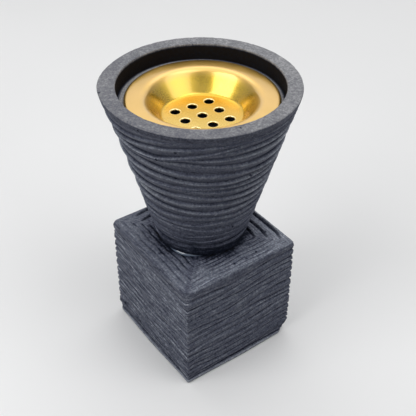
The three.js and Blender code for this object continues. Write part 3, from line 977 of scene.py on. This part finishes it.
# Section of the bead from its foot up: shares of how far it reaches out and up
BEAD_SHAPE = [(1.0, 0.0), (0.93, 0.3), (0.6, 0.75), (0.2, 1.0), (-0.1, 0.8), (-0.5, 0.3)]


def make_glue():
    bead = ((1 + np.cos(turns(GLUE_COLUMNS) - BEAD_FRONT)) / 2) ** BEAD_NARROWNESS
    film = FOOT_RADIUS - FILM_EDGE
    thickness = (glue_high.z - glue_low.z) * FILM_SHARE
    profile = []
    for out, up in BEAD_SHAPE:
        edge = FOOT_RADIUS + BEAD_SIZE * out
        height = up * (thickness + bead * BEAD_SIZE)
        profile.append((film + bead * (edge - film), glue_low.z + height))
    profile.append((film - FILM_EDGE, glue_low.z + thickness))
    piece = closed_skin("glue_film", revolve(profile, GLUE_COLUMNS))
    finish_piece(piece, "stand", "adhesive", adhesive, "glue_joint")


# Felt pads under the block

PAD_ROUND = 0.0002


def make_pads():
    for side in ("front", "right", "back", "left"):
        low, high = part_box(f"pad_{side}")
        radius = (high.x - low.x) / 2
        flat = radius - PAD_ROUND
        centre = ((high.x + low.x) / 2, (high.y + low.y) / 2, 0)
        profile = [(flat, low.z), (radius, low.z + PAD_ROUND), (radius, high.z - PAD_ROUND), (flat, high.z)]
        piece = closed_skin(f"felt_{side}", revolve(profile, columns=48) + np.array(centre))
        finish_piece(piece, "stand", "pad", felt, f"pad_{side}")


# Materials

NOISE_RANGE = (0.3, 0.7)


class Nodes:
    """Makes the nodes of a material or of the world."""

    def __init__(self, owner, shader="Principled BSDF"):
        owner.use_nodes = True
        self.owner = owner
        self.tree = owner.node_tree
        self.shader = self.tree.nodes[shader]

    def set(self, node, name, value):
        socket = node.inputs[name]
        if isinstance(value, bpy.types.NodeSocket):
            self.tree.links.new(value, socket)
        else:
            socket.default_value = value

    def fill(self, node, **inputs):
        for name, value in inputs.items():
            self.set(node, name.replace("_", " "), value)
        return node

    def finish(self, **inputs):
        self.fill(self.shader, **inputs)
        return self.owner

    def add(self, kind, settings=None, *values, **inputs):
        """A new node. values go into its inputs in their order, and inputs by name."""
        node = self.tree.nodes.new("ShaderNode" + kind)
        for key, value in (settings or {}).items():
            setattr(node, key, value)
        for index, value in enumerate(values):
            self.set(node, index, value)
        return self.fill(node, **inputs)

    def place(self):
        return self.add("TexCoord").outputs["Object"]

    def field(self, name):
        return self.add("Attribute", {"attribute_name": name}).outputs["Fac"]

    def noise(self, place, scale, detail, roughness):
        node = self.add("TexNoise", Scale=scale, Detail=detail, Roughness=roughness, Vector=place)
        return node.outputs["Fac"]

    def math(self, operation, first, second):
        return self.add("Math", {"operation": operation}, first, second).outputs[0]

    def times(self, first, second):
        return self.math("MULTIPLY", first, second)

    def span(self, value, low, high, to_low=0.0, to_high=1.0):
        """value taken from low..high to to_low..to_high, and held there."""
        smooth = {"interpolation_type": "SMOOTHSTEP"}
        return self.add("MapRange", smooth, value, low, high, to_low, to_high).outputs[0]

    def mix(self, share, first, second, blend="MIX"):
        """Mix of two colours, which are inputs 6 and 7 and output 2 of this node."""
        node = self.add("Mix", {"data_type": "RGBA", "blend_type": blend}, share)
        self.set(node, 6, first)
        self.set(node, 7, second)
        return node.outputs[2]

    def ramp(self, value, stops):
        """Colours from a list of (value, colour)."""
        low, high = stops[0][0], stops[-1][0]
        share = self.add("MapRange", None, value, low, high).outputs[0]
        node = self.add("ValToRGB", Fac=share)
        elements = node.color_ramp.elements
        for stop, (place, colour) in enumerate(stops):
            element = elements[stop] if stop < 2 else elements.new(1)
            element.position = (place - low) / (high - low)
            element.color = (*colour, 1)
        return node.outputs["Color"]

    def bump(self, height, strength, distance, **below):
        """Normal of a bumpy surface, on the normal of the bumps below it."""
        node = self.add("Bump", Strength=strength, Distance=distance, Height=height, **below)
        return node.outputs["Normal"]


# Colours by tone. The darkest, brown, is the painted shade inside the rim.
STONE_RAMP = [
    (-2.0, (0.009, 0.0075, 0.0075)),
    (-1.4, (0.01, 0.012, 0.018)),
    (-1.0, (0.008, 0.011, 0.0215)),
    (-0.5, (0.029, 0.034, 0.055)),
    (0.0, (0.075, 0.083, 0.121)),
    (0.5, (0.16, 0.175, 0.216)),
    (1.0, (0.31, 0.335, 0.395)),
    (2.0, (0.85, 0.86, 0.88)),
]
WARM_TINT = (1.09, 1.01, 0.88, 1)
STONE_ROUGHNESS = (0.68, 0.9)

# Grain, grit, patches and flakes: lumps per metre, detail and roughness. The first three shift the tone.
STONE_NOISES = [(1100, 3, 0.6), (600, 2, 0.6), (80, 3, 0.6), (1500, 1, 0.5)]
STONE_SHIFTS = (0.22, 0.12, 0.06)

# Dashes that run along the layers
DASH_LENGTH = 0.0068
DASH_THICKNESS = 0.00058
DASH_NOISE = (1 / DASH_LENGTH, 2, 0.6)

# The range of a value, and the range that it is turned into
DASH_TONES = (0.4, 0.64, -0.46, 0.66)
STREAK_GRAIN_TONES = (0.36, 0.64, -0.2, 0.2)
FLAKE_TONES = (0.64, 0.74, 0.0, 0.7)
PORE_SIZES = (0.9, 1.0, 0.0, 0.26)
# Gloss falls with the tone, so the painted shade in corners loses its reflection too
GLOSS_BY_TONE = (-1.1, -0.2, 0.05, 0.4)

FLAKE_LEAST = 0.2
PORE_EDGE = 0.08
PORE_TONE = 0.9

# Strength and height of the bumps
DASH_BUMP = (0.8, 0.0008)
GRIT_BUMP = (0.5, 0.00035)
GRAIN_BUMP = (0.6, 0.00025)
PORE_BUMP = (0.8, 0.0003)


def make_cast_stone():
    nodes = Nodes(bpy.data.materials.new("cast_stone"))
    where = nodes.place()
    tone, layer, streak, warmth = (nodes.field(name) for name in ("tone", "layer", "streak", "warmth"))
    grain, grit, patches, flakes = (nodes.noise(where, *sizes) for sizes in STONE_NOISES)

    axes = nodes.add("SeparateXYZ", Vector=where).outputs
    across = nodes.times(layer, DASH_LENGTH / DASH_THICKNESS)
    along = nodes.add("CombineXYZ", X=axes["X"], Y=axes["Y"], Z=across).outputs[0]
    dash = nodes.noise(along, *DASH_NOISE)
    tone = nodes.math("ADD", tone, nodes.times(nodes.span(dash, *DASH_TONES), streak))
    for value, shift in zip((grain, grit, patches), STONE_SHIFTS):
        tone = nodes.math("ADD", tone, nodes.span(value, *NOISE_RANGE, -shift, shift))
    tone = nodes.math("ADD", tone, nodes.times(nodes.span(grain, *STREAK_GRAIN_TONES), streak))
    flake_share = nodes.math("ADD", streak, FLAKE_LEAST)
    tone = nodes.math("ADD", tone, nodes.times(nodes.span(flakes, *FLAKE_TONES), flake_share))

    pores = nodes.add("TexVoronoi", Scale=330.0, Vector=where).outputs
    size = nodes.add("SeparateColor", Color=pores["Color"]).outputs[0]
    depth = nodes.math("SUBTRACT", nodes.span(size, *PORE_SIZES), pores["Distance"])
    pore = nodes.span(depth, 0.0, PORE_EDGE)
    tone = nodes.math("SUBTRACT", tone, nodes.times(pore, PORE_TONE))

    tint = nodes.mix(warmth, (1, 1, 1, 1), WARM_TINT)
    normal = nodes.bump(nodes.times(dash, streak), *DASH_BUMP)
    normal = nodes.bump(grit, *GRIT_BUMP, Normal=normal)
    normal = nodes.bump(grain, *GRAIN_BUMP, Normal=normal)
    normal = nodes.bump(nodes.times(pore, -1.0), *PORE_BUMP, Normal=normal)
    return nodes.finish(
        Base_Color=nodes.mix(1.0, nodes.ramp(tone, STONE_RAMP), tint, "MULTIPLY"),
        Roughness=nodes.span(grain, *NOISE_RANGE, *STONE_ROUGHNESS),
        Specular_IOR_Level=nodes.span(tone, *GLOSS_BY_TONE),
        Normal=normal,
    )


# Darker and paler gold of the floor at the back and at the front, of the wall and of the flange. The paler
# front of the floor is a painted reflection.
GOLD_TONES = [
    ((0.7, 0.39, 0.02, 1), (0.74, 0.43, 0.04, 1)),
    ((0.79, 0.55, 0.14, 1), (0.82, 0.59, 0.18, 1)),
    ((0.75, 0.485, 0.025, 1), (0.78, 0.52, 0.055, 1)),
    ((0.75, 0.465, 0.105, 1), (0.78, 0.495, 0.135, 1)),
]
# Paler gold painted on the holes' walls and lips, as a highlight
HOLE_HIGHLIGHT_COLOUR = (0.9, 0.74, 0.38, 1)
SMEARS = (55, 3, 0.6)
FINE_MARKS = (2600, 2, 0.6)
FINE_MARK_BUMP = (0.12, 0.00003)

# Where the floor's back turns into its front, the floor into the wall, and the wall into the flange
FLOOR_TURN = (-0.012, 0.016)
WALL_TURN = (BOWL_TOP - BOWL_DEPTH, BOWL_TOP - BOWL_DEPTH + 0.0008)
FLANGE_TURN = (BOWL_TOP - 0.004, BOWL_TOP - 0.0002)

GOLD_ROUGHNESS = (0.22, 0.32)
FLANGE_ROUGHNESS = 0.1
FINE_MARK_ROUGHNESS = (-0.03, 0.03)
COAT_WEIGHTS = (0.25, 0.8)


def make_gold_metal():
    nodes = Nodes(bpy.data.materials.new("gold_metal"))
    where = nodes.place()
    height = nodes.add("SeparateXYZ", Vector=where).outputs["Z"]
    smears = nodes.noise(where, *SMEARS)
    fine = nodes.noise(where, *FINE_MARKS)
    smear = nodes.span(smears, *NOISE_RANGE)
    floor, front, wall, pale = (nodes.mix(smear, *pair) for pair in GOLD_TONES)
    # The floor turns paler towards the front: a painted reflection
    front_way = (cos(CUP_FRONT), sin(CUP_FRONT), 0)
    forwards = nodes.add("VectorMath", {"operation": "DOT_PRODUCT"}, where, front_way)
    floor = nodes.mix(nodes.span(forwards.outputs["Value"], *FLOOR_TURN), floor, front)
    flat = nodes.span(height, *FLANGE_TURN)
    colour = nodes.mix(flat, nodes.mix(nodes.span(height, *WALL_TURN), floor, wall), pale)
    roughness = nodes.span(smears, *NOISE_RANGE, *GOLD_ROUGHNESS)
    roughness = nodes.math("ADD", roughness, nodes.times(flat, FLANGE_ROUGHNESS))
    return nodes.finish(
        Base_Color=nodes.mix(nodes.field("hole_highlight"), colour, HOLE_HIGHLIGHT_COLOUR),
        Metallic=1.0,
        Roughness=nodes.math("ADD", roughness, nodes.span(fine, *NOISE_RANGE, *FINE_MARK_ROUGHNESS)),
        Normal=nodes.bump(fine, *FINE_MARK_BUMP),
        Coat_Weight=nodes.span(height, *WALL_TURN, *COAT_WEIGHTS),
        Coat_Roughness=0.14,
        Coat_IOR=1.75,
    )


def make_plain(name, grain, colours, roughness, bump, **inputs):
    """Material whose colour, roughness and bumps follow one noise."""
    nodes = Nodes(bpy.data.materials.new(name))
    cloud = nodes.noise(nodes.place(), *grain)
    return nodes.finish(
        Base_Color=nodes.mix(cloud, *colours),
        Roughness=nodes.span(cloud, *NOISE_RANGE, *roughness),
        Normal=nodes.bump(cloud, *bump),
        **inputs,
    )


# Stage, lights and camera

FLOOR_HALF = 3.0
FLOOR_NOISE = (6, 2, 0.5)
FLOOR_COLOURS = ((0.8, 0.8, 0.8, 1), (0.84, 0.84, 0.84, 1))
FLOOR_UNSEEN_COLOUR = (0.23, 0.22, 0.21, 1)
FLOOR_FADE = (0.5, 1.2)
WORLD_LEVEL = 0.15
WORLD_GLOSS = 0.42
BACK_LEVEL = 0.8
BACK_COLOUR = (0.95, 0.97, 1.0, 1)


def make_floor():
    """Pale floor, which lights the burner little and fades into the background far away."""
    corners = [(x * FLOOR_HALF, y * FLOOR_HALF, 0) for x, y in ((-1, -1), (1, -1), (1, 1), (-1, 1))]
    floor = new_object("floor", corners, [(0, 1, 2, 3)])
    nodes = Nodes(bpy.data.materials.new("floor"))
    where = nodes.place()
    pale = nodes.mix(nodes.noise(where, *FLOOR_NOISE), *FLOOR_COLOURS)
    ray = nodes.add("LightPath").outputs
    seen = nodes.math("MAXIMUM", ray["Is Camera Ray"], ray["Is Glossy Ray"])
    away = nodes.add("VectorMath", {"operation": "LENGTH"}, where).outputs["Value"]
    far = nodes.times(nodes.span(away, *FLOOR_FADE), ray["Is Camera Ray"])
    material = nodes.finish(
        Base_Color=nodes.mix(far, nodes.mix(seen, FLOOR_UNSEEN_COLOUR, pale), (0, 0, 0, 1)),
        Emission_Strength=nodes.times(far, BACK_LEVEL),
        Emission_Color=BACK_COLOUR,
        Roughness=0.7,
    )
    floor.data.materials.append(material)


def make_world():
    """Dim light from all round, brighter in reflections, and a pale background for the camera."""
    world = bpy.data.worlds.new("studio")
    scene.world = world
    nodes = Nodes(world, "Background")
    ray = nodes.add("LightPath").outputs
    level = nodes.span(ray["Is Glossy Ray"], 0.0, 1.0, WORLD_LEVEL, WORLD_GLOSS)
    seen = nodes.span(ray["Is Camera Ray"], 0.0, 1.0, level, BACK_LEVEL)
    nodes.finish(Color=BACK_COLOUR, Strength=seen)


def direction(azimuth, elevation):
    """Unit vector towards a viewer, from degrees. At azimuth 0 they look along +Y."""
    turn, rise = radians(azimuth), radians(elevation)
    return Vector((sin(turn) * cos(rise), -cos(turn) * cos(rise), sin(rise)))


# Lamps like windows: azimuth and elevation in degrees, distance, width, height, and how bright each makes a
# white surface that faces it
LAMPS = [
    ("window_left", -4, 38, 0.9, 0.66, 0.8, 0.55),
    ("window_right", 118, 44, 1.0, 0.8, 1.4, 0.49),
    ("window_back", 238, 40, 1.2, 2.4, 1.2, 0.4),
    ("softbox", 235, 78, 1.0, 1.2, 1.2, 0.44),
]
LAMP_TARGET = Vector((0, 0, 0.08))


def make_lamps():
    for name, azimuth, elevation, distance, width, height, level in LAMPS:
        data = bpy.data.lights.new(name, "AREA")
        data.shape = "RECTANGLE"
        data.size, data.size_y = width, height
        data.energy = level * pi**2 * distance**2
        lamp = add_object(name, data)
        lamp.location = LAMP_TARGET + distance * direction(azimuth, elevation)
        lamp.rotation_euler = (LAMP_TARGET - lamp.location).to_track_quat("-Z", "Y").to_euler()


CAMERA_TARGET = Vector((0.003635, 0.001427, 0.076))
CAMERA_AZIMUTH, CAMERA_ELEVATION = 53.955, 38.077
CAMERA_DISTANCE = 0.387842
CAMERA_ROLL = radians(0.352)
CAMERA_LENS = 68.463


def make_camera():
    data = bpy.data.cameras.new("camera")
    data.sensor_width = 36
    data.lens = CAMERA_LENS
    data.clip_start, data.clip_end = 0.01, 20
    camera = add_object("camera", data)
    place = CAMERA_TARGET + CAMERA_DISTANCE * direction(CAMERA_AZIMUTH, CAMERA_ELEVATION)
    turn = (CAMERA_TARGET - place).to_track_quat("-Z", "Y").to_matrix() @ Matrix.Rotation(CAMERA_ROLL, 3, "Z")
    camera.matrix_world = Matrix.Translation(place) @ turn.to_4x4()
    scene.camera = camera


make_camera()
cast_stone = make_cast_stone()
gold_metal = make_gold_metal()
adhesive = make_plain(
    "adhesive",
    grain=(400, 2, 0.5),
    colours=((0.06, 0.085, 0.13, 1), (0.14, 0.18, 0.25, 1)),
    roughness=(0.06, 0.14),
    bump=(0.1, 0.0001),
    Specular_IOR_Level=0.9,
    Coat_Weight=1.0,
)
felt = make_plain(
    "felt",
    grain=(3000, 4, 0.7),
    colours=((0.012, 0.012, 0.014, 1), (0.05, 0.05, 0.056, 1)),
    roughness=(0.88, 1.0),
    bump=(0.7, 0.0003),
    Sheen_Weight=0.3,
)
make_cup()
make_block()
make_bowl()
make_glue()
make_pads()
make_floor()
make_world()
make_lamps()
scene.view_settings.view_transform = "Standard"
